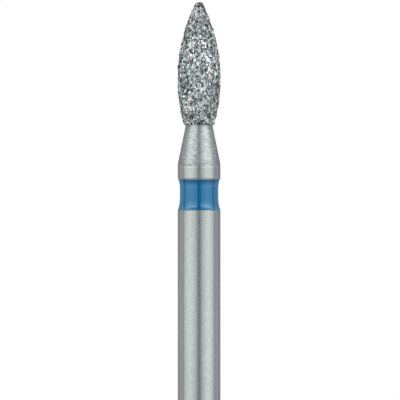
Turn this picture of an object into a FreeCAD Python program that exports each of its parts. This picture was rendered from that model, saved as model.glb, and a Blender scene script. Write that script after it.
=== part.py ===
"""Friction-grip dental bur with a flame-shaped diamond head.

The frame has Z along the axis of the bur, from the free end of the shank at the origin up to the tip.
All sizes are millimetres. Three pieces make the bur:

  steel_blank      one turned piece: chamfered shank, ring groove, neck cone and the core of the head
  colour_ring      the lacquer band in the groove, whose colour tells how coarse the grit is
  diamond_coating  the plated layer on the core, with the diamond grains that stand out of it
"""

import FreeCAD
import Part

import math
import os
import random

import Sketcher
from FreeCAD import Vector

PARTS_FOLDER = "parts"

# Alias of each cell of the size sheet, its value, and what it measures.
SIZES = (
    ("shank_diameter", 1.60, "gripped shank, the standard friction-grip size"),
    ("end_chamfer", 0.15, "chamfer round the free end of the shank"),
    ("grip_length", 11.20, "free end of the shank to the ring groove"),
    ("groove_width", 1.25, "ring groove along the axis, wall to rim"),
    ("groove_depth", 0.16, "floor of the ring groove, below the surface of the shank"),
    ("groove_lip_radius", 0.20, "rounding of the groove's rim on the head side"),
    ("land_length", 0.46, "cylinder between the groove and the neck cone"),
    ("shoulder_radius", 1.30, "blend between the cylinder and the cone"),
    ("cone_length", 1.40, "neck cone between its two theoretical corners"),
    ("collar_length", 0.09, "thin end of the neck, up to the head"),
    ("collar_radius", 0.50, "blend between the cone and the thin end"),
    ("neck_diameter", 1.03, "thin end of the neck"),
    ("head_length", 4.60, "neck to tip, over the grains"),
    ("head_rear_length", 1.80, "neck to the widest place of the head"),
    ("head_diameter", 1.60, "widest place of the head, over the grains"),
    ("tip_radius", 0.19, "rounding of the tip, over the grains"),
    ("core_tip_radius", 0.10, "rounding of the tip of the steel core"),
    ("bond_thickness", 0.07, "nickel layer that holds the grains"),
    ("bond_edge", 0.02, "thickness of that layer where it ends on the neck"),
    ("grain_height", 0.045, "how far a tall grain stands out of the nickel"),
    ("grain_spacing", 0.12, "distance between neighbouring grains, as in medium grit"),
    ("plating_gap", 0.004, "room between the round core and the flat facets that line the coating"),
    ("ring_waist_depth", 0.0825, "waist of the lacquer band, below the surface of the shank"),
    ("ring_low_length", 0.63, "groove's square wall to the waist of the band"),
    ("ring_low_step", 0.003, "band at that wall, below the surface of the shank"),
    ("ring_shoulder_radius", 0.25, "rounding of the band beside that wall"),
    ("ring_high_gap", 0.095, "bare part of the rounded rim, between the band and the land"),
)

# Sizes that add up to each level, from the free end of the shank.
STACK = ("grip_length", "groove_width", "land_length", "cone_length", "collar_length")
LEVELS = {
    "low_wall": STACK[:1],
    "high_rim": STACK[:2],
    "shoulder": STACK[:3],
    "collar": STACK[:4],
    "head": STACK,
    "widest": STACK + ("head_rear_length",),
    "tip": STACK + ("head_length",),
}

# Proportions of the grains, none of them a length.
LOW_GRAIN_SHARE = 0.45
PEAK_SHIFT_SHARE = 0.16
CORNER_SHIFT_SHARE = 0.22
BARE_SHARE = 0.12
FEWEST_IN_A_ROW = 5
LINING_SIDES = 36
GRAIN_SEED = 16

SAME_PLACE = 1e-6

# How a sketch numbers the ends and the centre of an edge, its own origin and its vertical axis.
START, END, CENTRE = range(1, 4)
ORIGIN = (-1, START)
VERTICAL_AXIS = -2


def make_sheet(doc):
    """Writes every driving size to the sheet that the pieces are bound to."""
    sheet = doc.addObject("Spreadsheet::Sheet", "Sizes")
    for row, (alias, value, meaning) in enumerate(SIZES, start=1):
        sheet.set(f"A{row}", meaning)
        sheet.set(f"B{row}", str(value))
        sheet.setAlias(f"B{row}", alias)
    doc.recompute()
    return sheet


def level(sheet, name):
    """Height of a level as a number."""
    return sum(getattr(sheet, alias) for alias in LEVELS[name])


def rise(name):
    """Height of a level as a formula of the sheet's cells."""
    return " + ".join(f"Sizes.{alias}" for alias in LEVELS[name])


def flat(radius, height):
    return Vector(radius, height, 0)


def line(start, end):
    return Part.LineSegment(start, end)


def arc(centre, start, end):
    """Arc in the sketch's plane that runs anticlockwise from start to end."""
    spoke = start - centre
    circle = Part.Circle(centre, Vector(0, 0, 1), spoke.Length)
    first = math.atan2(spoke.y, spoke.x)
    last = math.atan2(end.y - centre.y, end.x - centre.x)
    return Part.ArcOfCircle(circle, first, last)


def axial_sketch(body, name):
    """Empty sketch in the plane through the axis: its X is the radius, its Y the height."""
    sketch = body.newObject("Sketcher::SketchObject", name)
    plane = next(f for f in body.Origin.OriginFeatures if f.Role == "XZ_Plane")
    sketch.AttachmentSupport = [(plane, "")]
    sketch.MapMode = "FlatFace"
    return sketch


def hold(sketch, kind, *places):
    sketch.addConstraint(Sketcher.Constraint(kind, *places))


def close_outline(sketch, count, smooth=(), backward=()):
    """Joins each edge to the next one, and the last to the first.

    An edge named as smooth runs tangent into the next. One named as backward is an arc that turns
    clockwise along the outline, so that its end comes first.
    """
    for edge in range(count):
        following = (edge + 1) % count
        leaving = START if edge in backward else END
        entering = END if following in backward else START
        kind = "Tangent" if edge in smooth else "Coincident"
        hold(sketch, kind, edge, leaving, following, entering)


def bind(sketch, kind, name, places, formula):
    """Adds a dimension, with the value it has now, and binds it to the sheet's cells."""
    index = sketch.addConstraint(Sketcher.Constraint(kind, *places, measure(sketch, kind, places)))
    sketch.renameConstraint(index, name)
    sketch.setExpression(f"Constraints.{name}", formula)


def measure(sketch, kind, places):
    """Value that a dimension has before it is bound."""
    if kind == "Radius":
        return sketch.Geometry[places[0]].Radius
    point = sketch.getPoint(*places[-2:])
    return point.x if kind == "DistanceX" else point.y


def at_radius(sketch, name, edge, end, formula):
    bind(sketch, "DistanceX", name, ORIGIN + (edge, end), formula)


def at_height(sketch, name, edge, end, formula):
    bind(sketch, "DistanceY", name, ORIGIN + (edge, end), formula)


def turn(body, kind, name, sketch):
    """Turns a profile right round the axis, as added or as removed material."""
    feature = body.newObject(kind, name)
    feature.Profile = sketch
    feature.ReferenceAxis = (sketch, ["V_Axis"])
    feature.Angle = 360.0
    return feature


def rim_names(shape, radius, height):
    """Names of the circular edges of that radius at that height."""
    names = []
    for number, edge in enumerate(shape.Edges, start=1):
        if edge.Degenerated or not isinstance(edge.Curve, Part.Circle):
            continue
        same_radius = abs(edge.Curve.Radius - radius) < SAME_PLACE
        if same_radius and abs(edge.Curve.Center.z - height) < SAME_PLACE:
            names.append(f"Edge{number}")
    return names


def flame_arcs(foot, widest, apex, tip_radius):
    """Centres of the two flank arcs of a flame, and the point where the tip's arc starts.

    Both flanks run along the axis at the widest place. The rear one ends at the foot, and the front
    one ends tangent to the rounding of the tip.
    """
    run, drop = widest.y - foot.y, widest.x - foot.x
    rear_radius = (run**2 + drop**2) / (2 * drop)
    reach = apex.y - tip_radius - widest.y
    front_radius = (widest.x**2 + reach**2 - tip_radius**2) / (2 * (widest.x - tip_radius))
    rear_centre = widest - flat(rear_radius, 0)
    front_centre = widest - flat(front_radius, 0)
    tip_centre = apex - flat(0, tip_radius)
    towards_tip = (tip_centre - front_centre).normalize()
    return rear_centre, front_centre, tip_centre + towards_tip * tip_radius


def turned_profile(body, sheet):
    """Half section of the steel blank before its groove: shank, neck and core of the head.

    The neck cone is blended into the cylinders at both its ends. Its two theoretical corners stay in
    the sketch as construction points, and carry the heights.
    """
    sketch = axial_sketch(body, "TurnedProfile")
    shank_radius, neck_radius = sheet.shank_diameter / 2, sheet.neck_diameter / 2
    shoulder_corner = flat(shank_radius, level(sheet, "shoulder"))
    collar_corner = flat(neck_radius, level(sheet, "collar"))
    slope = math.atan2(shank_radius - neck_radius, sheet.cone_length)
    outwards = flat(math.cos(slope), math.sin(slope))
    setback = math.tan(slope / 2)
    shank_top = shoulder_corner - flat(0, sheet.shoulder_radius * setback)
    shoulder_centre = shank_top - flat(sheet.shoulder_radius, 0)
    thin_foot = collar_corner + flat(0, sheet.collar_radius * setback)
    collar_centre = thin_foot + flat(sheet.collar_radius, 0)
    cone_foot = shoulder_centre + outwards * sheet.shoulder_radius
    cone_top = collar_centre - outwards * sheet.collar_radius

    plating = sheet.bond_thickness + sheet.grain_height
    foot = flat(neck_radius, level(sheet, "head"))
    widest = flat(sheet.head_diameter / 2 - plating, level(sheet, "widest"))
    apex = flat(0, level(sheet, "tip") - plating)
    rear_centre, front_centre, tip_start = flame_arcs(foot, widest, apex, sheet.core_tip_radius)
    tip_centre = apex - flat(0, sheet.core_tip_radius)

    end, shank, shoulder, cone, collar, thin, rear, front, tip, axis = range(10)
    sketch.addGeometry([
        line(flat(0, 0), flat(shank_radius, 0)),
        line(flat(shank_radius, 0), shank_top),
        arc(shoulder_centre, shank_top, cone_foot),
        line(cone_foot, cone_top),
        arc(collar_centre, thin_foot, cone_top),
        line(thin_foot, foot),
        arc(rear_centre, foot, widest),
        arc(front_centre, widest, tip_start),
        arc(tip_centre, tip_start, apex),
        line(apex, flat(0, 0)),
    ])
    close_outline(sketch, len(sketch.Geometry), backward=(collar,),
                  smooth=(shank, shoulder, cone, collar, rear, front))
    hold(sketch, "Coincident", end, START, *ORIGIN)
    hold(sketch, "Horizontal", end)
    for upright in (shank, thin, axis):
        hold(sketch, "Vertical", upright)
    hold(sketch, "Horizontal", rear, CENTRE, rear, END)
    hold(sketch, "PointOnObject", tip, CENTRE, VERTICAL_AXIS)

    low_corner = sketch.addGeometry(Part.Point(shoulder_corner), True)
    high_corner = sketch.addGeometry(Part.Point(collar_corner), True)
    for corner, neighbours in ((low_corner, (shank, cone)), (high_corner, (cone, thin))):
        for neighbour in neighbours:
            hold(sketch, "PointOnObject", corner, START, neighbour)

    covered = "(Sizes.bond_thickness + Sizes.grain_height)"
    at_radius(sketch, "ShankRadius", end, END, "Sizes.shank_diameter / 2")
    at_height(sketch, "ShoulderHeight", low_corner, START, rise("shoulder"))
    bind(sketch, "Radius", "ShoulderBlend", (shoulder,), "Sizes.shoulder_radius")
    at_height(sketch, "CollarHeight", high_corner, START, rise("collar"))
    bind(sketch, "Radius", "CollarBlend", (collar,), "Sizes.collar_radius")
    at_radius(sketch, "NeckRadius", thin, END, "Sizes.neck_diameter / 2")
    at_height(sketch, "HeadHeight", thin, END, rise("head"))
    at_radius(sketch, "CoreRadius", rear, END, f"Sizes.head_diameter / 2 - {covered}")
    at_height(sketch, "WidestHeight", rear, END, rise("widest"))
    at_height(sketch, "CoreTipHeight", tip, END, f"{rise('tip')} - {covered}")
    bind(sketch, "Radius", "CoreTipRadius", (tip,), "Sizes.core_tip_radius")
    return sketch


def groove_profile(body, sheet):
    """Section of the ring groove: square wall below, flat floor, and a rounded rim above."""
    sketch = axial_sketch(body, "GrooveProfile")
    shank, lip = sheet.shank_diameter / 2, sheet.groove_lip_radius
    floor = shank - sheet.groove_depth
    low, high = level(sheet, "low_wall"), level(sheet, "high_rim")
    rim_centre = flat(shank - lip, high)
    rim_foot = flat(floor, high - math.sqrt(lip**2 - (floor - rim_centre.x) ** 2))
    rim = flat(shank, high)
    clear = sheet.shank_diameter

    bed, rounding, above, outside, wall = range(5)
    sketch.addGeometry([
        line(flat(floor, low), rim_foot),
        arc(rim_centre, rim_foot, rim),
        line(rim, flat(clear, high)),
        line(flat(clear, high), flat(clear, low)),
        line(flat(clear, low), flat(floor, low)),
    ])
    close_outline(sketch, len(sketch.Geometry))
    hold(sketch, "Vertical", bed)
    hold(sketch, "Horizontal", above)
    hold(sketch, "Vertical", outside)
    hold(sketch, "Horizontal", wall)
    hold(sketch, "Horizontal", rounding, CENTRE, rounding, END)

    at_radius(sketch, "FloorRadius", bed, START, "Sizes.shank_diameter / 2 - Sizes.groove_depth")
    at_height(sketch, "WallHeight", bed, START, rise("low_wall"))
    at_radius(sketch, "RimRadius", rounding, END, "Sizes.shank_diameter / 2")
    at_height(sketch, "RimHeight", rounding, END, rise("high_rim"))
    at_radius(sketch, "ClearRadius", above, END, "Sizes.shank_diameter")
    bind(sketch, "Radius", "LipRadius", (rounding,), "Sizes.groove_lip_radius")
    return sketch


def make_steel_blank(doc, sheet):
    """Turned blank: the revolved profile, then the ring groove, then the chamfer of its free end."""
    body = doc.addObject("PartDesign::Body", "SteelBlank")
    body.Label = "steel_blank"
    turn(body, "PartDesign::Revolution", "Turning", turned_profile(body, sheet))
    doc.recompute()
    full_volume = body.Shape.Volume
    grooved = turn(body, "PartDesign::Groove", "RingGroove", groove_profile(body, sheet))
    doc.recompute()
    if body.Shape.Volume >= full_volume:
        raise ValueError("the ring groove removed nothing from the blank")

    chamfer = body.newObject("PartDesign::Chamfer", "EndChamfer")
    chamfer.Base = (grooved, rim_names(grooved.Shape, sheet.shank_diameter / 2, 0.0))
    chamfer.setExpression("Size", "Sizes.end_chamfer")
    doc.recompute()
    return body


def lacquer_profile(body, sheet):
    """Half section of the lacquer before the steel is taken out of it.

    The outside is hollow, in two arcs that meet at the waist. Its low end rounds over to meet the
    groove's square wall, and its high end runs up the rounded rim.
    """
    sketch = axial_sketch(body, "LacquerProfile")
    low, high = level(sheet, "low_wall"), level(sheet, "high_rim")
    shank, lip, gap = sheet.shank_diameter / 2, sheet.groove_lip_radius, sheet.ring_high_gap
    wall, shoulder, sweep = shank - sheet.ring_low_step, sheet.ring_shoulder_radius, sheet.ring_low_length
    inside = shank / 2

    waist = flat(shank - sheet.ring_waist_depth, low + sweep)
    crest = flat(shank - lip + math.sqrt(lip**2 - gap**2), high - gap)
    both_radii = (sweep**2 + (wall - waist.x) ** 2) / (2 * (wall - waist.x))
    low_centre = waist + flat(both_radii - shoulder, 0)
    shoulder_centre = flat(wall - shoulder, low)
    meeting = shoulder_centre + (low_centre - shoulder_centre) * (shoulder / both_radii)
    run, spread = crest.y - waist.y, crest.x - waist.x
    high_centre = waist + flat((run**2 + spread**2) / (2 * spread), 0)

    bottom, rounding, low_dip, high_dip, top, back = range(6)
    sketch.addGeometry([
        line(flat(inside, low), flat(wall, low)),
        arc(shoulder_centre, flat(wall, low), meeting),
        arc(low_centre, waist, meeting),
        arc(high_centre, crest, waist),
        line(crest, flat(inside, crest.y)),
        line(flat(inside, crest.y), flat(inside, low)),
    ])
    close_outline(sketch, len(sketch.Geometry), smooth=(rounding, low_dip), backward=(low_dip, high_dip))
    for level_edge in (bottom, top):
        hold(sketch, "Horizontal", level_edge)
    hold(sketch, "Vertical", back)
    hold(sketch, "Horizontal", rounding, CENTRE, rounding, START)
    hold(sketch, "Horizontal", low_dip, CENTRE, low_dip, START)

    surface = "Sizes.shank_diameter / 2"
    rim_reach = "sqrt(Sizes.groove_lip_radius ^ 2 - Sizes.ring_high_gap ^ 2)"
    on_rim = f"{surface} - Sizes.groove_lip_radius + {rim_reach}"
    at_radius(sketch, "InnerRadius", bottom, START, "Sizes.shank_diameter / 4")
    at_height(sketch, "WallHeight", bottom, START, rise("low_wall"))
    at_radius(sketch, "WallRadius", bottom, END, f"{surface} - Sizes.ring_low_step")
    at_radius(sketch, "WaistRadius", low_dip, START, f"{surface} - Sizes.ring_waist_depth")
    at_height(sketch, "WaistHeight", low_dip, START, f"{rise('low_wall')} + Sizes.ring_low_length")
    at_radius(sketch, "CrestRadius", high_dip, START, on_rim)
    at_height(sketch, "CrestHeight", high_dip, START, f"{rise('high_rim')} - Sizes.ring_high_gap")
    bind(sketch, "Radius", "ShoulderRadius", (rounding,), "Sizes.ring_shoulder_radius")
    return sketch


def make_colour_ring(doc, sheet, blank):
    """Lacquer that fills the groove: a turned band less the steel that it sits on."""
    band = doc.addObject("PartDesign::Body", "LacquerBand")
    band.Label = "lacquer_band"
    turn(band, "PartDesign::Revolution", "LacquerTurning", lacquer_profile(band, sheet))
    doc.recompute()
    ring = doc.addObject("Part::Cut", "ColourRing")
    ring.Label = "colour_ring"
    ring.Base = band
    ring.Tool = blank
    doc.recompute()
    return ring


def flame_outline(foot, widest, apex, tip_radius):
    """Outline of a flame from its foot to its apex, as three arcs in one wire."""
    rear_centre, front_centre, tip_start = flame_arcs(foot, widest, apex, tip_radius)
    tip_centre = apex - flat(0, tip_radius)
    return Part.Wire([
        arc(rear_centre, foot, widest).toShape(),
        arc(front_centre, widest, tip_start).toShape(),
        arc(tip_centre, tip_start, apex).toShape(),
    ])


def around_axis(place, angle):
    """Point of an outline after it is turned about the axis by an angle."""
    return Vector(place.x * math.cos(angle), place.x * math.sin(angle), place.y)


def nickel_rows(skin, sheet):
    """Rows of corners on the nickel between the grains, from the neck up to the tip.

    The rows lie an even step apart along the outline, and each has as many corners as fit round it.
    A corner is its angle and its number in the skin.
    """
    foot = flat(sheet.neck_diameter / 2 + sheet.bond_edge, level(sheet, "head"))
    widest = flat(sheet.head_diameter / 2 - sheet.grain_height, level(sheet, "widest"))
    apex = flat(0, level(sheet, "tip") - sheet.grain_height)
    outline = flame_outline(foot, widest, apex, sheet.tip_radius - sheet.grain_height)
    spacing = sheet.grain_spacing
    steps = round(outline.Length / (spacing * math.sqrt(3) / 2))
    places = outline.discretize(Number=steps + 1)
    chance = random.Random(GRAIN_SEED)
    shift = CORNER_SHIFT_SHARE * spacing
    rows = []
    for number, place in enumerate(places[:-1]):
        count = max(FEWEST_IN_A_ROW, round(2 * math.pi * place.x / spacing))
        along = (places[number + 1] - place).normalize()
        lift = 0.0 if number == 0 else shift
        row = []
        for index in range(count):
            turned = index + (number % 2) / 2 + chance.uniform(-1, 1) * CORNER_SHIFT_SHARE
            angle = 2 * math.pi * turned / count
            spot = place + along * chance.uniform(-lift, lift)
            row.append((angle, skin.corner(around_axis(spot, angle))))
        rows.append(row)
    return rows


def lining_rows(skin, sheet):
    """Rows of corners on the coating's inside, from above the core down to the neck.

    They follow the core at a gap that keeps the flats between them just clear of it. The first row is
    one corner on the axis.
    """
    gap = sheet.plating_gap
    plating = sheet.bond_thickness + sheet.grain_height - gap
    foot = flat(sheet.neck_diameter / 2 + gap, level(sheet, "head"))
    widest = flat(sheet.head_diameter / 2 - plating, level(sheet, "widest"))
    apex = flat(0, level(sheet, "tip") - plating)
    outline = flame_outline(foot, widest, apex, sheet.core_tip_radius + gap)
    flat_to_corner = 1 / math.cos(math.pi / LINING_SIDES)
    rows = []
    for place in outline.discretize(Deflection=gap / 2)[:-1]:
        spot = flat(place.x * flat_to_corner, place.y)
        angles = [2 * math.pi * side / LINING_SIDES for side in range(LINING_SIDES)]
        rows.append([(angle, skin.corner(around_axis(spot, angle))) for angle in angles])
    rows.append([(0.0, skin.corner(around_axis(apex, 0.0)))])
    return rows[::-1]


def angle_of(row, index):
    """Angle of a corner, counted on past a full turn where the index runs past the row."""
    return row[index % len(row)][0] + 2 * math.pi * (index // len(row))


def triangles_between(lower, upper):
    """Triangles that fill the strip between two rows, as numbers of corners in the skin.

    A row of one corner makes a fan of the other row.
    """
    count_low, count_up = len(lower), len(upper)
    low = up = 0
    triangles = []
    while low < count_low or up < count_up:
        here, there = lower[low % count_low][1], upper[up % count_up][1]
        low_is_next = low < count_low and angle_of(lower, low + 1) <= angle_of(upper, up + 1)
        if up >= count_up or low_is_next:
            low += 1
            triangles.append((here, lower[low % count_low][1], there))
        else:
            up += 1
            triangles.append((here, upper[up % count_up][1], there))
    return [triangle for triangle in triangles if len(set(triangle)) == 3]


class FacetedSkin:
    """Closed shell of triangles that share their corners and their edges."""

    def __init__(self):
        self.points = []
        self.vertices = []
        self.edges = {}
        self.faces = []

    def corner(self, point):
        self.points.append(point)
        self.vertices.append(Part.Vertex(point))
        return len(self.points) - 1

    def edge(self, start, end):
        key = (min(start, end), max(start, end))
        if key not in self.edges:
            self.edges[key] = Part.Edge(self.vertices[key[0]], self.vertices[key[1]])
        shared = self.edges[key]
        return shared if start < end else shared.reversed()

    def facet(self, first, second, third):
        sides = [self.edge(first, second), self.edge(second, third), self.edge(third, first)]
        self.faces.append(Part.Face(Part.Wire(sides)))

    def grain(self, corners, peak):
        """Three facets of a grain that rises from the triangle between three corners to its peak."""
        summit = self.corner(peak)
        for side in range(3):
            self.facet(corners[side], corners[(side + 1) % 3], summit)


def peak_over(base, height, chance):
    """Place of a grain's peak: off the middle of its base, and that much above it."""
    weights = [1 / 3 + chance.uniform(-1, 1) * PEAK_SHIFT_SHARE for _ in base]
    middle = Vector(0, 0, 0)
    for point, weight in zip(base, weights):
        middle += point * (weight / sum(weights))
    outwards = (base[1] - base[0]).cross(base[2] - base[0]).normalize()
    return middle + outwards * height


def cover_with_grains(skin, rows, sheet):
    """Lays grains over the strips between those rows, with a bare facet of nickel here and there."""
    chance = random.Random(GRAIN_SEED + 1)
    for lower, upper in zip(rows, rows[1:]):
        for corners in triangles_between(lower, upper):
            if chance.random() < BARE_SHARE:
                skin.facet(*corners)
                continue
            height = sheet.grain_height * chance.uniform(LOW_GRAIN_SHARE, 1.0)
            base = [skin.points[corner] for corner in corners]
            skin.grain(corners, peak_over(base, height, chance))


def make_diamond_coating(doc, sheet):
    """Nickel and grains as one solid of facets.

    Its skin runs down the inside, across the narrow edge on the neck, and up over the grains.
    """
    skin = FacetedSkin()
    outside = nickel_rows(skin, sheet)
    inside = lining_rows(skin, sheet)
    tip = [(0.0, skin.corner(Vector(0, 0, level(sheet, "tip"))))]
    plain_strips = list(zip(inside, inside[1:] + outside[:1])) + [(outside[-1], tip)]
    for lower, upper in plain_strips:
        for corners in triangles_between(lower, upper):
            skin.facet(*corners)
    cover_with_grains(skin, outside, sheet)

    coating = doc.addObject("Part::Feature", "DiamondCoating")
    coating.Label = "diamond_coating"
    coating.Shape = Part.makeSolid(Part.Shell(skin.faces))
    coating.Placement = FreeCAD.Placement()
    return coating


def check(doc, pieces):
    """Stops before anything is written if an object failed or a piece isn't one sound solid."""
    for item in doc.Objects:
        if "Invalid" in item.State or "Error" in item.State:
            raise ValueError(f"{item.Label} failed to build: {item.State}")
    for piece in pieces:
        if piece.Shape.isNull() or not piece.Shape.isValid() or len(piece.Shape.Solids) != 1:
            raise ValueError(f"{piece.Label} isn't one valid solid")


def main():
    doc = FreeCAD.newDocument("DentalBur")
    sheet = make_sheet(doc)
    blank = make_steel_blank(doc, sheet)
    ring = make_colour_ring(doc, sheet, blank)
    coating = make_diamond_coating(doc, sheet)
    doc.recompute()
    pieces = (blank, ring, coating)
    check(doc, pieces)
    os.makedirs(PARTS_FOLDER, exist_ok=True)
    for piece in pieces:
        piece.Shape.exportStep(os.path.join(PARTS_FOLDER, f"{piece.Label}.step"))
        box = piece.Shape.optimalBoundingBox()
        print(f"{piece.Label}: {piece.Shape.Volume:.4f} mm3, {len(piece.Shape.Faces)} faces, "
              f"radius {box.XMax:.4f}, height {box.ZMin:.3f} to {box.ZMax:.3f}")


main()
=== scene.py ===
"""Looks of a diamond dental bur: a steel blank, a blue grit ring and a flame head of plated diamond.

The sections are drawn in millimetres and turned about the axis, and each finished piece is brought
to metres with its place in its mesh. The long axis is Z, with the free end of the shank at the origin
and the tip of the head on top.
"""

import logging
import math
import random
from dataclasses import dataclass, field
from enum import Enum
from typing import Any, Iterator, Sequence

import bpy
from mathutils import Matrix, Vector, noise


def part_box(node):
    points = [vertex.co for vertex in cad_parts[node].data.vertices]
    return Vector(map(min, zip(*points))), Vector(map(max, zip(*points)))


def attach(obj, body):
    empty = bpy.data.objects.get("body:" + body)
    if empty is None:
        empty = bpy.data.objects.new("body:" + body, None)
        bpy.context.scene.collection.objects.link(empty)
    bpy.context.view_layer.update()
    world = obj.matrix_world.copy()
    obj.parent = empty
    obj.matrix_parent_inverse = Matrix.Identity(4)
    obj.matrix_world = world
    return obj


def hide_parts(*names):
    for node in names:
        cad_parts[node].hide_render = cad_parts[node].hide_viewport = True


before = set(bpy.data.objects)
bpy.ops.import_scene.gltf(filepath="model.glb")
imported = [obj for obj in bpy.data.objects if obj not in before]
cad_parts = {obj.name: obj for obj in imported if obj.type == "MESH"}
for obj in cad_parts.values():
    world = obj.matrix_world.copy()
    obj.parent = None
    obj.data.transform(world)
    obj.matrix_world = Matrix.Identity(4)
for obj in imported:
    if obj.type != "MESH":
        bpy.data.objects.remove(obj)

log = logging.getLogger("dental_bur")

MM = 0.001
BODY = "root"
TURN_STEPS = 192
STAGE_STEPS = 96
ARC_STEP = math.radians(6)
SAME_PLACE = 1e-5
MERGE_REACH = 1e-4
SAME_PLANE = math.radians(1)
SHARP_EDGE = math.radians(28)
WHITE = (1.0, 1.0, 1.0, 1.0)

# Sizes in millimetres that the boxes of the solids don't give, or that two pieces share. A rise or a
# drop is measured from an edge of a solid.
NECK_RADIUS = 0.515
GROOVE_DEPTH = 0.16
RIM_RISE = 0.095
CORE_WIDEST_RADIUS = 0.685
CORE_WIDEST_RISE = 1.80
CORE_TIP_RADIUS = 0.10

# In the photo the low edge of the ring stands this much higher than in the solid.
RING_LOW_LIFT = 0.02


def linear(hex_colour: str) -> tuple[float, float, float, float]:
    """Turns an sRGB hex colour to the linear colour that a shader takes.

    Args:
        hex_colour: Six hex digits, with or without a leading hash.

    Returns:
        Linear red, green and blue, and an alpha of 1.
    """
    digits = hex_colour.lstrip("#")
    shares = [int(digits[start:start + 2], 16) / 255 for start in (0, 2, 4)]
    red, green, blue = [s / 12.92 if s <= 0.04045 else ((s + 0.055) / 1.055) ** 2.4 for s in shares]
    return red, green, blue, 1.0


def add_node(tree: bpy.types.NodeTree, kind: str, inputs: dict[Any, Any] | None = None,
             stops: Sequence[tuple[float, tuple[float, ...]]] = (), **settings: Any) -> bpy.types.Node:
    """Adds a node with its settings, its input values and the links into it.

    Args:
        tree: Node tree that gets the node.
        kind: Type name of the node.
        inputs: Value or feeding output for each input, by its name or number.
        stops: Places from 0 to 1 and colours of a colour ramp, in order.
        settings: Properties of the node itself.

    Returns:
        The new node.
    """
    node = tree.nodes.new(kind)
    for name, value in settings.items():
        setattr(node, name, value)
    for socket, value in (inputs or {}).items():
        if isinstance(value, bpy.types.NodeSocket):
            tree.links.new(value, node.inputs[socket])
        else:
            node.inputs[socket].default_value = value
    if stops:
        elements = node.color_ramp.elements
        for element, (place, colour) in ((elements[0], stops[0]), (elements[1], stops[-1])):
            element.position = place
            element.color = colour
        for place, colour in stops[1:-1]:
            elements.new(place).color = colour
    return node


def empty_material(name: str) -> tuple[bpy.types.Material, bpy.types.NodeTree]:
    """Makes a material that has no nodes yet.

    Args:
        name: Name of the real material.

    Returns:
        The material and its empty node tree.
    """
    material = bpy.data.materials.new(name)
    material.use_nodes = True
    tree = material.node_tree
    tree.nodes.clear()
    return material, tree


def settle(piece: bpy.types.Object) -> None:
    """Brings a piece from millimetres to metres, with its place in its mesh."""
    piece.data.transform(Matrix.Scale(MM, 4) @ piece.matrix_world)
    piece.matrix_world = Matrix.Identity(4)


def hand_over(piece: bpy.types.Object, material: bpy.types.Material, slot: str, node: str = "") -> None:
    """Dresses a finished piece, fixes it to the bur in place of its solid, and reports it.

    Args:
        piece: Finished piece, in millimetres.
        material: What it is made of.
        slot: Material slot of the record.
        node: CAD node that the piece takes the place of, or an empty text where another piece does.
    """
    piece.data.materials.clear()
    piece.data.materials.append(material)
    settle(piece)
    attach(piece, BODY)
    if node:
        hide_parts(node)
    log.info("%s: %d faces, %s", piece.name, len(piece.data.polygons), slot)


def span_mm(node: str) -> tuple[float, float, float]:
    """Measures a solid of the frame.

    Args:
        node: Name of the CAD node.

    Returns:
        Its largest radius, lowest height and highest height, in millimetres.
    """
    low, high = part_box(node)
    return high[0] / MM, low[2] / MM, high[2] / MM


class Section:
    """Half section of a turned piece, drawn in the XZ plane as a chain of strokes.

    The end of the last stroke stays selected, so the next stroke goes on from there.
    """

    def __init__(self, name: str, start: Vector) -> None:
        """Puts the first point down.

        Args:
            name: Name of the piece.
            start: Radius and height of the first point, in millimetres.
        """
        bpy.ops.object.select_all(action="DESELECT")
        bpy.ops.mesh.primitive_plane_add(size=MM, location=(start.x, 0.0, start.y))
        self.piece = bpy.context.object
        self.piece.name = name
        self.place = start
        bpy.ops.object.mode_set(mode="EDIT")
        bpy.ops.mesh.merge(type="CENTER")

    def line_to(self, end: Vector, strokes: int = 1) -> None:
        """Draws a straight run, in as many equal strokes as asked.

        Args:
            end: Radius and height of its end.
            strokes: Number of strokes.
        """
        step = (end - self.place) / strokes
        for _ in range(strokes):
            bpy.ops.mesh.extrude_vertices_move(TRANSFORM_OT_translate={"value": (step.x, 0.0, step.y)})
        self.place = end

    def arc_to(self, centre: Vector, end: Vector) -> None:
        """Draws an arc the short way round.

        Args:
            centre: Radius and height of the arc's centre.
            end: Radius and height of its end.
        """
        angle = (self.place - centre).angle_signed(end - centre)
        steps = max(2, math.ceil(abs(angle) / ARC_STEP))
        bpy.ops.mesh.spin(steps=steps, angle=angle, center=(centre.x, 0.0, centre.y),
                          axis=(0.0, -1.0, 0.0))
        self.place = end

    def turn(self, closed: bool = False) -> bpy.types.Object:
        """Turns the section right round the axis and closes its seam and its poles.

        Args:
            closed: Whether the last point is joined to the first one before turning.

        Returns:
            The turned piece, still in millimetres.
        """
        bpy.ops.mesh.select_all(action="SELECT")
        if closed:
            bpy.ops.mesh.remove_doubles(threshold=MERGE_REACH)
        bpy.ops.mesh.spin(steps=TURN_STEPS, angle=2 * math.pi, center=(0.0, 0.0, 0.0),
                          axis=(0.0, 0.0, 1.0))
        bpy.ops.mesh.select_all(action="SELECT")
        bpy.ops.mesh.remove_doubles(threshold=MERGE_REACH)
        bpy.ops.mesh.normals_make_consistent(inside=False)
        bpy.ops.object.mode_set(mode="OBJECT")
        bpy.ops.object.shade_smooth_by_angle(angle=SHARP_EDGE)
        return self.piece


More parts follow.
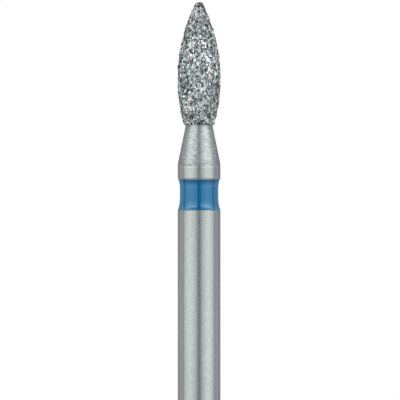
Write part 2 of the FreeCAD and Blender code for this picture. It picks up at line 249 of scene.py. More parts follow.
@dataclass(frozen=True)
class GroundSteel:
    """Hardened stainless tool steel, centreless ground on the shank and turned on the neck cone.

    To the eye it is a satin grey mirror: broad soft bands that run with the axis, a faint mottle from
    the grinding wheel, fine tool marks across the cone, and a painted highlight: a bright line of paler
    colour where land and cone meet. Its finest scratches scatter light to all sides, so it isn't wholly
    metallic.
    """

    shoulder: float
    name: str = "ground_stainless_steel"
    light: str = "d6dcda"
    dull: str = "ccd3d1"
    mark: str = "d0d1d1"
    turned: str = "f4f5f5"
    # Paler grey of the painted highlight where land and cone meet.
    painted_edge_highlight: str = "eef3f1"
    metal_share: float = 0.84
    smooth: float = 0.21
    rough: float = 0.29
    turned_roughness: float = 0.09
    mottle: float = 0.14
    mottle_detail: float = 3.0
    mottle_grain: float = 0.55
    mottle_span: tuple[float, float] = (0.3, 0.7)
    mark_length: float = 0.16
    mark_pitch: float = 0.034
    mark_detail: float = 1.0
    mark_grain: float = 0.5
    mark_span: tuple[float, float] = (0.4, 0.6)
    mark_tilt: tuple[float, float, float] = (0.0, math.radians(4), 0.0)
    mark_depth: float = 0.0003
    mark_strength: float = 0.5
    edge_highlight_share: float = 0.35
    edge_drop: float = 0.105
    edge_width: float = 0.05

    def make(self) -> bpy.types.Material:
        """Builds the steel.

        Returns:
            The material.
        """
        material, tree = empty_material(self.name)
        place = add_node(tree, "ShaderNodeTexCoord").outputs["Object"]
        # Scratches of the grinding wheel are about 0.01 mm wide, too fine to show, so they are drawn as a
        # coarser mottle.
        mottle = add_node(tree, "ShaderNodeTexNoise", {
            "Vector": place, "Scale": 1 / (self.mottle * MM), "Detail": self.mottle_detail,
            "Roughness": self.mottle_grain})
        # Real turning marks are about 0.02 mm apart, too fine to show, so they are drawn coarser.
        stretched = add_node(tree, "ShaderNodeMapping", {
            "Vector": place, "Rotation": self.mark_tilt,
            "Scale": (1.0, 1.0, self.mark_pitch / self.mark_length)}, vector_type="TEXTURE")
        strokes = add_node(tree, "ShaderNodeTexNoise", {
            "Vector": stretched.outputs["Vector"], "Scale": 1 / (self.mark_length * MM),
            "Detail": self.mark_detail, "Roughness": self.mark_grain})
        marks = add_node(tree, "ShaderNodeMapRange", {
            "Value": strokes.outputs["Fac"], "From Min": self.mark_span[0], "From Max": self.mark_span[1]})
        height = add_node(tree, "ShaderNodeSeparateXYZ", {"Vector": place}).outputs["Z"]
        edge = self.shoulder - self.edge_drop
        on_cone = add_node(tree, "ShaderNodeMapRange", {
            "Value": height, "From Min": edge * MM, "From Max": (edge + self.edge_width) * MM})
        lathe = add_node(tree, "ShaderNodeMix", {
            "Factor": marks.outputs["Result"], "A": linear(self.turned), "B": linear(self.mark)},
            data_type="RGBA")
        # Painted highlight: a thin band where land and cone meet is coloured paler, standing in for the
        # bright line off the edge.
        from_edge = add_node(tree, "ShaderNodeMath", {0: height, 1: edge * MM}, operation="SUBTRACT")
        off_edge = add_node(tree, "ShaderNodeMath", {0: from_edge.outputs["Value"]}, operation="ABSOLUTE")
        on_edge = add_node(tree, "ShaderNodeMapRange", {
            "Value": off_edge.outputs["Value"], "From Min": 0.5 * self.edge_width * MM,
            "From Max": self.edge_width * MM, "To Min": self.edge_highlight_share, "To Max": 0.0})
        low, high = self.mottle_span
        ground = add_node(tree, "ShaderNodeValToRGB", {"Fac": mottle.outputs["Fac"]},
                          stops=((low, linear(self.dull)), (high, linear(self.light))))
        turned = add_node(tree, "ShaderNodeMix", {
            "Factor": on_cone.outputs["Result"], "A": ground.outputs["Color"],
            "B": lathe.outputs["Result"]}, data_type="RGBA", blend_type="MULTIPLY")
        tone = add_node(tree, "ShaderNodeMix", {
            "Factor": on_edge.outputs["Result"], "A": turned.outputs["Result"],
            "B": linear(self.painted_edge_highlight)}, data_type="RGBA")
        roughness = add_node(tree, "ShaderNodeMapRange", {
            "Value": mottle.outputs["Fac"], "From Min": low, "From Max": high,
            "To Min": self.rough, "To Max": self.smooth})
        cone_roughness = add_node(tree, "ShaderNodeMath", {
            0: on_cone.outputs["Result"], 1: self.turned_roughness, 2: roughness.outputs["Result"]},
            operation="MULTIPLY_ADD")
        cut = add_node(tree, "ShaderNodeMath", {
            0: marks.outputs["Result"], 1: on_cone.outputs["Result"]}, operation="MULTIPLY")
        relief = add_node(tree, "ShaderNodeBump", {
            "Height": cut.outputs["Value"], "Strength": self.mark_strength,
            "Distance": self.mark_depth * MM})
        shader = add_node(tree, "ShaderNodeBsdfPrincipled", {
            "Base Color": tone.outputs["Result"], "Metallic": self.metal_share,
            "Roughness": cone_roughness.outputs["Value"], "Normal": relief.outputs["Normal"]})
        add_node(tree, "ShaderNodeOutputMaterial", {"Surface": shader.outputs["BSDF"]})
        return material


@dataclass(frozen=True)
class BlueLacquer:
    """Clear blue lacquer, cured in the groove over bright steel.

    The colour is deep, and darker towards both walls of the groove: partly because the layer is thicker
    there, partly as painted shade, deepest under the rim's lip. The steel beneath lends it a little of
    its own shine under the gloss of the top. The dye near the surface gives it a greenish glint, and a
    paler blue bloom where it is seen at a low angle. Its tones are given by their height above the foot
    of the band.
    """

    band_foot: float
    name: str = "blue_lacquer_over_steel"
    # The darker tones near both walls are partly thicker lacquer, partly painted shade under the rim's lip.
    tones: tuple[tuple[float, str], ...] = (
        (0.02, "126898"), (0.08, "085b95"), (0.16, "085e99"), (0.26, "066aa2"), (0.91, "066aa2"),
        (1.08, "045488"))
    roughness: float = 0.08
    shine: float = 0.28
    ior: float = 1.8
    glint: str = "a2ffc4"
    coat_roughness: float = 0.03
    coat_ior: float = 1.62
    bloom: str = "78b8e2"
    bloom_weight: float = 0.8
    bloom_roughness: float = 0.5

    def make(self) -> bpy.types.Material:
        """Builds the lacquer.

        Returns:
            The material.
        """
        material, tree = empty_material(self.name)
        place = add_node(tree, "ShaderNodeTexCoord").outputs["Object"]
        height = add_node(tree, "ShaderNodeSeparateXYZ", {"Vector": place}).outputs["Z"]
        low, high = self.tones[0][0], self.tones[-1][0]
        share = add_node(tree, "ShaderNodeMapRange", {
            "Value": height, "From Min": (self.band_foot + low) * MM,
            "From Max": (self.band_foot + high) * MM})
        tone = add_node(tree, "ShaderNodeValToRGB", {"Fac": share.outputs["Result"]}, stops=[
            ((level - low) / (high - low), linear(colour)) for level, colour in self.tones])
        shader = add_node(tree, "ShaderNodeBsdfPrincipled", {
            "Base Color": tone.outputs["Color"], "Metallic": self.shine, "Roughness": self.roughness,
            "IOR": self.ior, "Specular Tint": linear(self.glint), "Coat Weight": 1.0,
            "Coat Roughness": self.coat_roughness, "Coat IOR": self.coat_ior,
            "Sheen Weight": self.bloom_weight, "Sheen Roughness": self.bloom_roughness,
            "Sheen Tint": linear(self.bloom)})
        add_node(tree, "ShaderNodeOutputMaterial", {"Surface": shader.outputs["BSDF"]})
        return material


@dataclass(frozen=True)
class PlatedNickel:
    """Galvanic nickel that grew between the grains: dull grey and lumpy, and painted dark as shade in the
    gaps.
    """

    name: str = "galvanic_nickel"
    # Both tones are far darker than bare nickel: painted shade for the gaps between the grains.
    light: str = "6a6f74"
    dark: str = "3a3e43"
    roughness: float = 0.42
    lump: float = 0.05
    lump_detail: float = 3.0
    lump_span: tuple[float, float] = (0.3, 0.7)

    def make(self) -> bpy.types.Material:
        """Builds the nickel.

        Returns:
            The material.
        """
        material, tree = empty_material(self.name)
        place = add_node(tree, "ShaderNodeTexCoord").outputs["Object"]
        # The nickel's lumps are about half as wide as a grain.
        lumps = add_node(tree, "ShaderNodeTexNoise", {
            "Vector": place, "Scale": 1 / (self.lump * MM), "Detail": self.lump_detail})
        low, high = self.lump_span
        tone = add_node(tree, "ShaderNodeValToRGB", {"Fac": lumps.outputs["Fac"]},
                        stops=((low, linear(self.dark)), (high, linear(self.light))))
        shader = add_node(tree, "ShaderNodeBsdfPrincipled", {
            "Base Color": tone.outputs["Color"], "Metallic": 1.0, "Roughness": self.roughness})
        add_node(tree, "ShaderNodeOutputMaterial", {"Surface": shader.outputs["BSDF"]})
        return material


@dataclass(frozen=True)
class DiamondGrit:
    """Crushed industrial diamond: hard bright facets, some clear and dark, some broken and white.

    Each facet carries its own tone, because a clean one shows the grey nickel behind it and a broken
    one scatters the light; on top of that, a grain's sides are painted darker than its open top, as
    painted shade in the gaps. A metallic share stands for the light that comes back out of the stone.
    """

    name: str = "crushed_diamond"
    clear: str = "272a31"
    middle: str = "768285"
    broken: str = "f8fefe"
    metal_share: float = 0.45
    attribute: str = "facet_tone"
    roughness: float = 0.16
    ior: float = 2.42

    def make(self) -> bpy.types.Material:
        """Builds the diamond.

        Returns:
            The material.
        """
        material, tree = empty_material(self.name)
        facet = add_node(tree, "ShaderNodeAttribute", attribute_name=self.attribute)
        tone = add_node(tree, "ShaderNodeValToRGB", {"Fac": facet.outputs["Fac"]}, stops=(
            (0.0, linear(self.clear)), (0.5, linear(self.middle)), (1.0, linear(self.broken))))
        shader = add_node(tree, "ShaderNodeBsdfPrincipled", {
            "Base Color": tone.outputs["Color"], "Metallic": self.metal_share, "Roughness": self.roughness,
            "IOR": self.ior})
        add_node(tree, "ShaderNodeOutputMaterial", {"Surface": shader.outputs["BSDF"]})
        return material


@dataclass(frozen=True)
class TentCloth:
    """Lit cloth of a round light tent: two soft boxes in front, a gap for the lens, grey behind.

    Its tones go round by the angle from the camera, in degrees to the right, and its strength follows
    the angle above or below the bur, with a bright rail above. To the right it grows a little stronger
    with the distance above or below the bur, and the gap fades out below.
    """

    radius: float
    name: str = "lit_tent_cloth"
    around: tuple[tuple[float, str], ...] = (
        (-180, "b4b6ba"), (-160, "a2a4aa"), (-148, "83848d"), (-130, "92939c"), (-118, "a2a4ad"),
        (-110, "a9acb4"), (-103, "a0a4ab"), (-99, "787c82"), (-92, "7a7e84"), (-86, "c2c6c6"),
        (-78, "e6e9e8"), (-60, "fafcfb"), (-45, "fdfffe"), (-33, "eaeeed"), (-21, "d6dad9"),
        (-12, "c0c4c3"), (11.5, "b8bcbb"), (20, "cdd1d0"), (32, "e6eae9"), (44, "f9fcfb"),
        (56, "fdfffe"), (66, "e9ebeb"), (78, "dee1e0"), (84, "bbbfbf"), (89, "696d73"),
        (93, "696d73"), (100, "a0a4aa"), (110, "989aa2"), (130, "84858e"), (148, "7d7e87"),
        (160, "a2a4aa"), (180, "b4b6ba"))
    upwards: tuple[tuple[float, float], ...] = (
        (-90, 0.4), (-60, 0.35), (-40, 0.35), (-25, 0.42), (-16, 0.62), (-12, 0.85), (-8, 0.98),
        (-4, 0.98), (-1, 0.82), (2, 0.78), (8, 0.80), (14, 1.05), (19, 1.5), (23, 2.05), (27, 2.0),
        (31, 1.1), (36, 0.5), (60, 0.3), (78, 0.6), (90, 0.8))
    gap: str = "14464e"
    gap_edge: tuple[float, float] = (8.2, 11.5)
    gap_foot: tuple[float, float] = (-20, -50)
    gap_fade: float = 0.2
    right_gain: float = 1.16
    right_reach: float = 0.25

    def make(self) -> bpy.types.Material:
        """Builds the cloth.

        Returns:
            The material.
        """
        material, tree = empty_material(self.name)
        place = add_node(tree, "ShaderNodeTexCoord").outputs["Object"]
        axes = add_node(tree, "ShaderNodeSeparateXYZ", {"Vector": place})
        towards_lens = add_node(tree, "ShaderNodeMath", {
            0: axes.outputs["Y"], 1: -1.0}, operation="MULTIPLY")
        angle = add_node(tree, "ShaderNodeMath", {
            0: axes.outputs["X"], 1: towards_lens.outputs["Value"]}, operation="ARCTAN2")
        turn = add_node(tree, "ShaderNodeMapRange", {
            "Value": angle.outputs["Value"], "From Min": -math.pi, "From Max": math.pi})
        tones = add_node(tree, "ShaderNodeValToRGB", {"Fac": turn.outputs["Result"]}, stops=[
            ((degrees + 180) / 360, linear(tone)) for degrees, tone in self.around])
        aside = add_node(tree, "ShaderNodeMath", {0: angle.outputs["Value"]}, operation="ABSOLUTE")
        across = add_node(tree, "ShaderNodeMapRange", {
            "Value": aside.outputs["Value"], "From Min": math.radians(self.gap_edge[0]),
            "From Max": math.radians(self.gap_edge[1]), "To Min": 1.0, "To Max": 0.0})
        reach = [math.sin(math.radians(degrees)) * self.radius * MM for degrees in self.gap_foot]
        along = add_node(tree, "ShaderNodeMapRange", {
            "Value": axes.outputs["Z"], "From Min": reach[0], "From Max": reach[1],
            "To Min": 1.0, "To Max": self.gap_fade})
        in_gap = add_node(tree, "ShaderNodeMath", {
            0: across.outputs["Result"], 1: along.outputs["Result"]}, operation="MULTIPLY")
        cloth = add_node(tree, "ShaderNodeMix", {
            "Factor": in_gap.outputs["Value"], "A": tones.outputs["Color"], "B": linear(self.gap)},
            data_type="RGBA")
        height = add_node(tree, "ShaderNodeMapRange", {
            "Value": axes.outputs["Z"], "From Min": -self.radius * MM, "From Max": self.radius * MM})
        brightest = max(level for _, level in self.upwards)
        lift = add_node(tree, "ShaderNodeValToRGB", {"Fac": height.outputs["Result"]}, stops=[
            ((1 + math.sin(math.radians(degrees))) / 2, [level / brightest] * 3 + [1.0])
            for degrees, level in self.upwards])
        off_level = add_node(tree, "ShaderNodeMath", {0: axes.outputs["Z"]}, operation="ABSOLUTE")
        corner = add_node(tree, "ShaderNodeMath", {
            0: axes.outputs["X"], 1: off_level.outputs["Value"]}, operation="MULTIPLY")
        gain = add_node(tree, "ShaderNodeMapRange", {
            "Value": corner.outputs["Value"], "From Min": 0.0,
            "From Max": self.right_reach * (self.radius * MM) ** 2,
            "To Min": brightest, "To Max": brightest * self.right_gain})
        strength = add_node(tree, "ShaderNodeMath", {
            0: lift.outputs["Color"], 1: gain.outputs["Result"]}, operation="MULTIPLY")
        glow = add_node(tree, "ShaderNodeEmission", {
            "Color": cloth.outputs["Result"], "Strength": strength.outputs["Value"]})
        add_node(tree, "ShaderNodeOutputMaterial", {"Surface": glow.outputs["Emission"]})
        material.cycles.emission_sampling = "NONE"
        return material


@dataclass
class SteelBlank:
    """Turned blank: chamfered shank, ring groove, land, neck cone and the core of the head."""

    shank_radius: float
    groove_low: float
    groove_high: float
    head_foot: float
    core: "Flame"
    end_chamfer: float = 0.15
    edge_break: float = 0.03
    groove_depth: float = GROOVE_DEPTH
    lip_radius: float = 0.20
    land_length: float = 0.48
    shoulder_radius: float = 1.30
    collar_drop: float = 0.085
    collar_run: float = 0.045
    neck_radius: float = NECK_RADIUS

    @property
    def shoulder(self) -> float:
        """Height at which the line of the land meets the line of the cone."""
        return self.groove_high + self.land_length

    @property
    def collar(self) -> float:
        """Height at which the line of the cone meets the neck."""
        return self.head_foot - self.collar_drop

    def build(self) -> bpy.types.Object:
        """Draws the section from the free end up to the core's tip, and turns it.

        Returns:
            The blank, in millimetres.
        """
        shank, break_, lip = self.shank_radius, self.edge_break, self.lip_radius
        floor = shank - self.groove_depth
        rim = Vector((shank - lip, self.groove_high))
        rim_foot = Vector((floor, rim.y - math.sqrt(lip ** 2 - (floor - rim.x) ** 2)))
        section = Section("shank_and_neck", Vector((0.0, 0.0)))
        section.line_to(Vector((shank - self.end_chamfer, 0.0)), strokes=2)
        section.line_to(Vector((shank, self.end_chamfer)))
        section.line_to(Vector((shank, self.groove_low - break_)), strokes=24)
        section.arc_to(Vector((shank - break_, self.groove_low - break_)),
                       Vector((shank - break_, self.groove_low)))
        section.line_to(Vector((floor, self.groove_low)))
        section.line_to(rim_foot, strokes=4)
        section.arc_to(rim, Vector((shank, self.groove_high)))
        slope = math.atan2(shank - self.neck_radius, self.collar - self.shoulder)
        run = self.shoulder_radius * math.tan(slope / 2)
        section.line_to(Vector((shank, self.shoulder - run)), strokes=3)
        section.arc_to(Vector((shank - self.shoulder_radius, self.shoulder - run)),
                       self.on_cone(self.shoulder + run * math.cos(slope)))
        section.line_to(self.on_cone(self.collar - self.collar_run), strokes=16)
        section.line_to(Vector((self.neck_radius, self.collar + self.collar_run)), strokes=2)
        section.line_to(Vector((self.neck_radius, self.head_foot)))
        self.core.draw(section)
        return section.turn()

    def on_cone(self, height: float) -> Vector:
        """Finds a point on the outline of the cone.

        Args:
            height: Height of the point.

        Returns:
            Its radius and height.
        """
        share = (height - self.shoulder) / (self.collar - self.shoulder)
        cone = self.shank_radius + (self.neck_radius - self.shank_radius) * share
        return Vector((min(self.shank_radius, cone), height))


@dataclass
class Flame:
    """Outline of the flame: an arc from the foot to the widest place, one to the tip, and its rounding."""

    foot: Vector
    widest: Vector
    apex: Vector
    tip_radius: float
    rear_centre: Vector = field(init=False)
    front_centre: Vector = field(init=False)
    tip_centre: Vector = field(init=False)
    tip_start: Vector = field(init=False)

    def __post_init__(self) -> None:
        """Works out the arcs, which run along the axis at the widest place and meet smoothly at the tip."""
        run, drop = self.widest.y - self.foot.y, self.widest.x - self.foot.x
        rear_radius = (run ** 2 + drop ** 2) / (2 * drop)
        reach = self.apex.y - self.tip_radius - self.widest.y
        front_radius = ((self.widest.x ** 2 + reach ** 2 - self.tip_radius ** 2)
                        / (2 * (self.widest.x - self.tip_radius)))
        self.rear_centre = self.widest - Vector((rear_radius, 0.0))
        self.front_centre = self.widest - Vector((front_radius, 0.0))
        self.tip_centre = self.apex - Vector((0.0, self.tip_radius))
        towards_tip = (self.tip_centre - self.front_centre).normalized()
        self.tip_start = self.tip_centre + towards_tip * self.tip_radius

    def draw(self, section: Section) -> None:
        """Adds the outline to a section.

        Args:
            section: Section that has reached the foot of the flame.
        """
        section.arc_to(self.rear_centre, self.widest)
        section.arc_to(self.front_centre, self.tip_start)
        section.arc_to(self.tip_centre, self.apex)

    def arcs(self) -> list[tuple[Vector, Vector, Vector]]:
        """Lists the arcs from the foot up.

        Returns:
            Centre, start and end of each arc.
        """
        return [(self.rear_centre, self.foot, self.widest),
                (self.front_centre, self.widest, self.tip_start),
                (self.tip_centre, self.tip_start, self.apex)]

    def walk(self, step: float) -> Iterator[tuple[Vector, Vector]]:
        """Walks up the outline in even steps.

        Args:
            step: Wanted length of a step, in millimetres.

        Yields:
            Each place as radius and height, and the direction that points out of the surface there.
        """
        lengths = [(start - centre).length * abs((start - centre).angle_signed(end - centre))
                   for centre, start, end in self.arcs()]
        count = round(sum(lengths) / step)
        for number in range(count + 1):
            left = sum(lengths) * number / count
            for (centre, start, end), length in zip(self.arcs(), lengths):
                if left <= length + SAME_PLACE:
                    break
                left -= length
            spoke = start - centre
            turned = spoke.angle_signed(end - centre) * min(1.0, left / length)
            outwards = spoke.normalized()
            outwards.rotate(Matrix.Rotation(-turned, 2))
            yield centre + outwards * spoke.length, outwards


class Habit(Enum):
    """Proportions of a diamond grain: length, width and height for a middle size of 1."""

    BLOCK = (1.1, 0.9, 1.0)
    FLAKE = (1.35, 0.95, 0.62)
    SPLINTER = (1.7, 0.68, 0.8)


@dataclass
class DiamondHead:
    """Flame head: the nickel coat round the core, and the diamond grains that it holds.

    Medium grit, which the blue ring stands for, is about 0.1 mm across, and so are the grains here.
    """

    foot_height: float
    tip_height: float
    core: Flame
    neck_radius: float = NECK_RADIUS
    widest_radius: float = 0.754
    widest_rise: float = 1.73
    tip_radius: float = 0.15
    coat_edge: float = 0.015
    grain_reach: float = 0.055
    foot_margin: float = 0.055
    clearance: float = 0.004
    spacing: float = 0.08
    place_spread: float = 0.3
    grain_size: float = 0.09
    size_spread: float = 0.3
    bare_share: float = 0.05
    lowest_rise: float = 0.15
    sunk_share: float = 0.42
    roll_spread: float = 0.5
    tip_spread: float = 0.4
    cuts: int = 7
    cut_depth: tuple[float, float] = (0.40, 0.54)
    forms_per_habit: int = 4
    middle_tone: float = 0.5
    whiteness_spread: float = 0.12
    patch_size: float = 0.33
    patch_spread: float = 0.3
    facet_spread: float = 0.55
    facet_extremes: float = 0.6
    side_shade_gain: float = 0.7
    side_shade_middle: float = 0.55
    seed: int = 21

    def surface(self) -> Flame:
        """Draws up the nickel between the grains.

        Returns:
            Its outline.
        """
        return Flame(foot=Vector((self.neck_radius + self.coat_edge, self.foot_height)),
                     widest=Vector((self.widest_radius, self.foot_height + self.widest_rise)),
                     apex=Vector((0.0, self.tip_height - self.grain_reach)),
                     tip_radius=self.tip_radius)

    def build_coat(self) -> bpy.types.Object:
        """Draws the coat's section, out along the foot and up the flame, and turns it.

        Returns:
            The nickel coat, in millimetres.
        """
        outer = self.surface()
        section = Section("nickel_coat", Vector((0.0, self.core.apex.y + self.clearance)))
        inner = [place + outwards * self.clearance for place, outwards in self.core.walk(self.spacing)]
        for place in reversed(inner[:-1]):
            section.line_to(place)
        section.line_to(outer.foot)
        outer.draw(section)
        return section.turn()

    def forms(self, chance: random.Random) -> list[bpy.types.Object]:
        """Cuts the few grain forms that all the grains are copies of.

        Args:
            chance: Source of the random cuts.

        Returns:
            One object for each form, about 1 across.
        """
        made = []
        for habit in Habit:
            for number in range(self.forms_per_habit):
                bpy.ops.object.select_all(action="DESELECT")
                bpy.ops.mesh.primitive_cube_add(size=1.0)
                form = bpy.context.object
                form.name = f"form_{habit.name.lower()}_{number}"
                bpy.ops.object.mode_set(mode="EDIT")
                bpy.ops.transform.resize(value=habit.value)
                for _ in range(self.cuts):
                    facing = Vector([chance.gauss(0, 1) for _ in range(3)]).normalized()
                    depth = chance.uniform(*self.cut_depth)
                    bpy.ops.mesh.select_all(action="SELECT")
                    bpy.ops.mesh.bisect(plane_co=facing * depth, plane_no=facing,
                                        use_fill=True, clear_outer=True)
                bpy.ops.mesh.select_all(action="SELECT")
                bpy.ops.mesh.dissolve_limited(angle_limit=SAME_PLANE)
                bpy.ops.object.mode_set(mode="OBJECT")
                made.append(form)
        return made

    def grain_places(self, chance: random.Random) -> Iterator[tuple[Matrix, Vector]]:
        """Scatters the grains in staggered rings up the flame.

        Args:
            chance: Source of the scatter.

        Yields:
            Where each grain sits, how it lies and how large it is, and which way is outwards for it.
        """
        for number, (place, outwards) in enumerate(self.surface().walk(self.spacing * math.sqrt(3) / 2)):
            if place.y < self.foot_height + self.foot_margin:
                continue
            count = max(1, round(2 * math.pi * place.x / self.spacing))
            for index in range(count):
                if chance.random() < self.bare_share:
                    continue
                aside = chance.uniform(-self.place_spread, self.place_spread)
                around = 2 * math.pi * (index + number % 2 / 2 + aside) / count
                size = self.grain_size * (1 + self.size_spread * chance.uniform(-1, 1))
                rise = self.grain_reach * chance.uniform(self.lowest_rise, 1.0) - size * self.sunk_share
                shift = chance.uniform(-self.place_spread, self.place_spread)
                along = Vector((outwards.y, -outwards.x)) * shift * self.spacing
                spot = place + outwards * rise + along
                turn = Matrix.Rotation(around, 4, "Z")
                lie = Matrix.Rotation(math.pi / 2 - math.atan2(outwards.y, outwards.x), 4, "Y")
                roll = Matrix.Rotation(chance.gauss(0, self.roll_spread), 4, "Z")
                tip = Matrix.Rotation(chance.gauss(0, self.tip_spread), 4, "X")
                seat = Matrix.Translation((spot.x, 0.0, spot.y))
                open_side = tip.inverted() @ Vector((0.0, 0.0, 1.0))
                yield turn @ seat @ lie @ roll @ tip @ Matrix.Scale(size, 4), open_side

    def facet_tones(self, grain: bpy.types.Mesh, open_side: Vector, patch: float,
                    chance: random.Random) -> list[float]:
        """Tones the facets of a grain: its open top is painted paler and its sides darker, as painted shade
        in the gaps.

        Args:
            grain: Mesh of the grain.
            open_side: Direction out of the head, in the grain's own coordinates.
            patch: How much paler this part of the head is than the rest.
            chance: Source of the differences between facets.

        Returns:
            A tone from 0, clear and dark, to 1, broken and white, for each facet.
        """
        whiteness = patch + chance.uniform(-self.whiteness_spread, self.whiteness_spread)
        tones = []
        for facet in grain.polygons:
            # Painted shade: facets that face into the gaps are toned darker, and those that face out paler.
            openness = max(0.0, facet.normal.dot(open_side)) - self.side_shade_middle
            luck = chance.betavariate(self.facet_extremes, self.facet_extremes) - self.middle_tone
            tone = (self.middle_tone + whiteness + self.side_shade_gain * openness
                    + self.facet_spread * luck)
            tones.append(min(1.0, max(0.0, tone)))
        return tones

    def build_grains(self) -> bpy.types.Object:
        """Copies the forms to every place on the coat and joins the copies to one piece.

        Returns:
            The diamond grains, in millimetres.
        """
        chance = random.Random(self.seed)
        forms = self.forms(chance)
        grains = []
        for matrix, open_side in self.grain_places(chance):
            form = chance.choice(forms)
            grain = form.copy()
            grain.data = form.data.copy()
            grain.matrix_world = matrix
            attribute = grain.data.attributes.new(DiamondGrit.attribute, "FLOAT", "FACE")
            patch = self.patch_spread * noise.noise(matrix.translation / self.patch_size)
            attribute.data.foreach_set("value", self.facet_tones(grain.data, open_side, patch, chance))
            bpy.context.collection.objects.link(grain)
            grains.append(grain)
        bpy.ops.object.select_all(action="DESELECT")
        for form in forms:
            bpy.data.objects.remove(form)
        for grain in grains:
            grain.select_set(True)
        bpy.context.view_layer.objects.active = grains[0]
        bpy.ops.object.join()
        piece = bpy.context.object
        piece.name = "diamond_grains"
        return piece


@dataclass
class ColourRing:
    """Lacquer band in the groove: round at the square wall, hollow to a long waist, and out to the rim."""

    shank_radius: float
    low: float
    high: float
    groove_depth: float = GROOVE_DEPTH
    waist_depth: float = 0.0785
    waist_radius: float = 1.54
    waist_turn: float = math.radians(12.4)
    flare_radius: float = 0.60
    waist_drop: float = 0.325
    low_step: float = 0.003
    shoulder_radius: float = 0.08

    def build(self, lip_radius: float, rim_height: float) -> bpy.types.Object:
        """Draws the band's section and turns it.

        Args:
            lip_radius: Rounding of the groove's rim, on which the band runs out.
            rim_height: Height at which that rounding meets the land.

        Returns:
            The lacquer band, in millimetres.
        """
        floor = self.shank_radius - self.groove_depth
        wall = Vector((self.shank_radius - self.low_step, self.low))
        waist_x, turned = self.shank_radius - self.waist_depth, self.waist_turn
        hollow, flare, shoulder = self.waist_radius, self.flare_radius, self.shoulder_radius
        steepest = math.acos((waist_x + hollow - (hollow - flare) * math.cos(turned) + shoulder - wall.x)
                             / (flare + shoulder))
        shoulder_centre = wall - Vector((shoulder, 0.0))
        flare_foot = shoulder_centre + Vector((math.cos(steepest), math.sin(steepest))) * shoulder
        flare_centre = flare_foot + Vector((math.cos(steepest), math.sin(steepest))) * flare
        flare_end = flare_centre - Vector((math.cos(turned), math.sin(turned))) * flare
        waist_centre = flare_end + Vector((math.cos(turned), math.sin(turned))) * hollow
        waist = waist_centre - Vector((hollow, 0.0))
        waist_top = Vector((waist.x, self.high - self.waist_drop))
        rim = Vector((self.shank_radius - lip_radius, rim_height))
        crest = Vector((rim.x + math.sqrt(lip_radius ** 2 - (rim_height - self.high) ** 2), self.high))
        rim_foot = Vector((floor, rim.y - math.sqrt(lip_radius ** 2 - (floor - rim.x) ** 2)))
        run, spread = crest.y - waist_top.y, crest.x - waist_top.x
        high_centre = waist_top + Vector(((run ** 2 + spread ** 2) / (2 * spread), 0.0))
        section = Section("lacquer_band", Vector((floor, self.low)))
        section.line_to(wall)
        section.arc_to(shoulder_centre, flare_foot)
        section.arc_to(flare_centre, flare_end)
        section.arc_to(waist_centre, waist)
        section.line_to(waist_top, strokes=4)
        section.arc_to(high_centre, crest)
        section.arc_to(rim, rim_foot)
        section.line_to(Vector((floor, self.low)), strokes=4)
        return section.turn(closed=True)


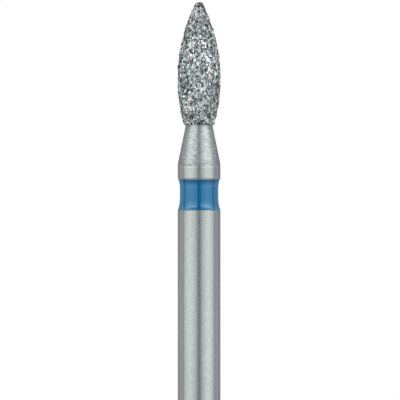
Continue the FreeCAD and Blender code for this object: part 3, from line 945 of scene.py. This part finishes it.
@dataclass
class Studio:
    """Pale floor, a light tent round the bur, soft lamps, white surroundings and the camera.

    A lamp is given by its name, its degrees to the right of the camera and above the bur, and its watts.
    """

    picture_height: float = 14.953
    aim_height: float = 11.595
    aim_side: float = 0.0342
    lens: float = 300.0
    sensor: float = 36.0
    clip_metres: tuple[float, float] = (0.01, 10.0)
    floor_radius: float = 58.0
    floor_fade: tuple[float, float] = (0.3, 0.95)
    floor_card: str = "f2f3f3"
    tent_radius: float = 60.0
    lamp_distance: float = 120.0
    lamp_size: float = 70.0
    lamps: tuple[tuple[str, float, float, float], ...] = (
        ("lamp_left", -48, 15, 0.037), ("lamp_right", 48, 15, 0.037), ("lamp_top", 0, 65, 0.020))
    ambient: float = 0.70

    def make_camera(self) -> None:
        """Sets a long lens level with the bur, so that its outline stays straight."""
        lens = bpy.data.cameras.new("camera")
        lens.lens = self.lens
        lens.sensor_width = self.sensor
        lens.clip_start, lens.clip_end = self.clip_metres
        camera = bpy.data.objects.new("camera", lens)
        distance = self.picture_height * self.lens / self.sensor
        camera.location = (self.aim_side * MM, -distance * MM, self.aim_height * MM)
        camera.rotation_euler = (math.pi / 2, 0.0, 0.0)
        bpy.context.collection.objects.link(camera)
        bpy.context.scene.camera = camera

    def make_world(self) -> None:
        """White surroundings: strength 1 where they are seen, less where they only light matt surfaces."""
        world = bpy.data.worlds.new("white_surroundings")
        world.use_nodes = True
        tree = world.node_tree
        tree.nodes.clear()
        path = add_node(tree, "ShaderNodeLightPath")
        seen = add_node(tree, "ShaderNodeMath", {
            0: path.outputs["Is Camera Ray"], 1: path.outputs["Is Glossy Ray"]}, operation="MAXIMUM")
        shown = add_node(tree, "ShaderNodeMath", {
            0: seen.outputs["Value"], 1: path.outputs["Is Transmission Ray"]}, operation="MAXIMUM")
        strength = add_node(tree, "ShaderNodeMapRange", {
            "Value": shown.outputs["Value"], "To Min": self.ambient, "To Max": 1.0})
        background = add_node(tree, "ShaderNodeBackground", {
            "Color": WHITE, "Strength": strength.outputs["Result"]})
        add_node(tree, "ShaderNodeOutputWorld", {"Surface": background.outputs["Background"]})
        bpy.context.scene.world = world

    def make_floor(self) -> None:
        """Pale floor that fades to the white of the surroundings, and keeps the shadow near the bur."""
        bpy.ops.object.select_all(action="DESELECT")
        bpy.ops.mesh.primitive_circle_add(vertices=STAGE_STEPS, radius=self.floor_radius * MM,
                                          fill_type="NGON")
        floor = bpy.context.object
        floor.name = "floor"
        material, tree = empty_material("pale_matt_card")
        place = add_node(tree, "ShaderNodeTexCoord").outputs["Object"]
        away = add_node(tree, "ShaderNodeVectorMath", {0: place}, operation="LENGTH")
        fade = add_node(tree, "ShaderNodeMapRange", {
            "Value": away.outputs["Value"], "From Min": self.floor_fade[0] * self.floor_radius * MM,
            "From Max": self.floor_fade[1] * self.floor_radius * MM})
        path = add_node(tree, "ShaderNodeLightPath")
        faded = add_node(tree, "ShaderNodeMath", {
            0: fade.outputs["Result"], 1: path.outputs["Is Camera Ray"]}, operation="MULTIPLY")
        card = add_node(tree, "ShaderNodeBsdfDiffuse", {"Color": linear(self.floor_card)})
        white = add_node(tree, "ShaderNodeEmission", {"Color": WHITE, "Strength": 1.0})
        blend = add_node(tree, "ShaderNodeMixShader", {
            "Fac": faded.outputs["Value"], 1: card.outputs["BSDF"], 2: white.outputs["Emission"]})
        add_node(tree, "ShaderNodeOutputMaterial", {"Surface": blend.outputs["Shader"]})
        floor.data.materials.append(material)
        floor.visible_glossy = False

    def make_tent(self) -> None:
        """Round light tent that only shiny surfaces see."""
        bpy.ops.object.select_all(action="DESELECT")
        bpy.ops.mesh.primitive_uv_sphere_add(segments=STAGE_STEPS, ring_count=STAGE_STEPS // 2,
                                             radius=self.tent_radius * MM,
                                             location=(0.0, 0.0, self.aim_height * MM))
        tent = bpy.context.object
        tent.name = "light_tent"
        bpy.ops.object.shade_smooth()
        tent.data.materials.append(TentCloth(radius=self.tent_radius).make())
        tent.visible_camera = False
        tent.visible_diffuse = False
        tent.visible_shadow = False
        tent.visible_transmission = False

    def make_lamp(self, name: str, azimuth: float, elevation: float, watts: float) -> None:
        """Hangs a soft lamp that faces the middle of the bur.

        Args:
            name: Name of the lamp.
            azimuth: Degrees to the right of the camera.
            elevation: Degrees above the bur.
            watts: Power of the lamp.
        """
        light = bpy.data.lights.new(name, "AREA")
        light.shape = "SQUARE"
        light.size = self.lamp_size * MM
        light.energy = watts
        lamp = bpy.data.objects.new(name, light)
        side, up = math.radians(azimuth), math.radians(elevation)
        direction = Vector((math.sin(side) * math.cos(up), -math.cos(side) * math.cos(up), math.sin(up)))
        lamp.location = Vector((0.0, 0.0, self.aim_height * MM)) + direction * self.lamp_distance * MM
        lamp.rotation_euler = direction.to_track_quat("Z", "Y").to_euler()
        lamp.visible_glossy = False
        bpy.context.collection.objects.link(lamp)

    def build(self) -> None:
        """Sets up everything that isn't part of the bur."""
        self.make_camera()
        self.make_world()
        self.make_floor()
        self.make_tent()
        for name, azimuth, elevation, watts in self.lamps:
            self.make_lamp(name, azimuth, elevation, watts)
        bpy.context.scene.view_settings.view_transform = "Standard"


def main() -> None:
    """Builds the bur and its studio."""
    logging.basicConfig(level=logging.INFO, format="%(message)s")
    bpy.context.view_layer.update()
    shank_radius, _, blank_top = span_mm("steel_blank")
    _, ring_low, ring_high = span_mm("colour_ring")
    ring_low += RING_LOW_LIFT
    _, head_foot, tip = span_mm("diamond_coating")
    rim_height = ring_high + RIM_RISE
    core = Flame(foot=Vector((NECK_RADIUS, head_foot)),
                 widest=Vector((CORE_WIDEST_RADIUS, head_foot + CORE_WIDEST_RISE)),
                 apex=Vector((0.0, blank_top)), tip_radius=CORE_TIP_RADIUS)

    blank = SteelBlank(shank_radius=shank_radius, groove_low=ring_low, groove_high=rim_height,
                       head_foot=head_foot, core=core)
    hand_over(blank.build(), GroundSteel(blank.shoulder).make(), "shank_steel", "steel_blank")

    ring = ColourRing(shank_radius=shank_radius, low=ring_low, high=ring_high)
    hand_over(ring.build(blank.lip_radius, rim_height), BlueLacquer(ring_low).make(),
              "ring_lacquer", "colour_ring")

    head = DiamondHead(foot_height=head_foot, tip_height=tip, core=core)
    hand_over(head.build_coat(), PlatedNickel().make(), "diamond_plating", "diamond_coating")
    hand_over(head.build_grains(), DiamondGrit().make(), "diamond_plating")

    Studio().build()


if __name__ == "__main__":
    main()
